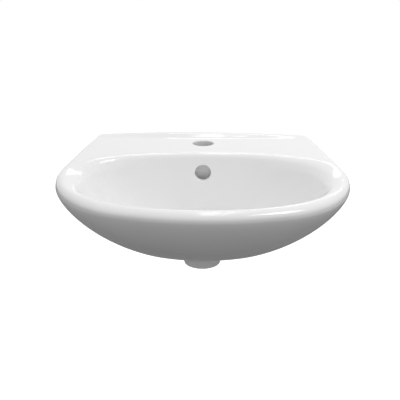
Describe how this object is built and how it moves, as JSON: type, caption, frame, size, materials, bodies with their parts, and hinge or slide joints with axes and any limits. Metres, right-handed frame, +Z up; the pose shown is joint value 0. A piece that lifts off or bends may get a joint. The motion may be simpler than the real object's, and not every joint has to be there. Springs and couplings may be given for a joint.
{
  "type": "wall hung wash basin",
  "caption": "Wall hung wash basin in white glazed china with an oval bowl, a tap hole, an overflow and its wall fixings.",
  "frame": {"origin": "middle of the back face on the wall's surface, at the height of the two fixing bolts", "axes": "+X to the right seen from the front, +Y into the wall, +Z up"},
  "size_m": [0.4502, 0.43, 0.1765],
  "materials": {
    "china": "white gloss glaze",
    "steel": "zinc plated",
    "nylon": "moulded nylon",
    "bush_plastic": "moulded plastic"
  },
  "bodies": {
    "root": {"basin_body": "china", "left_hanger_bolt": "steel", "left_wall_plug": "nylon", "left_flange_bush": "bush_plastic", "left_washer": "steel", "left_hex_nut": "steel", "right_hanger_bolt": "steel", "right_wall_plug": "nylon", "right_flange_bush": "bush_plastic", "right_washer": "steel", "right_hex_nut": "steel"}
  },
  "joints": []
}
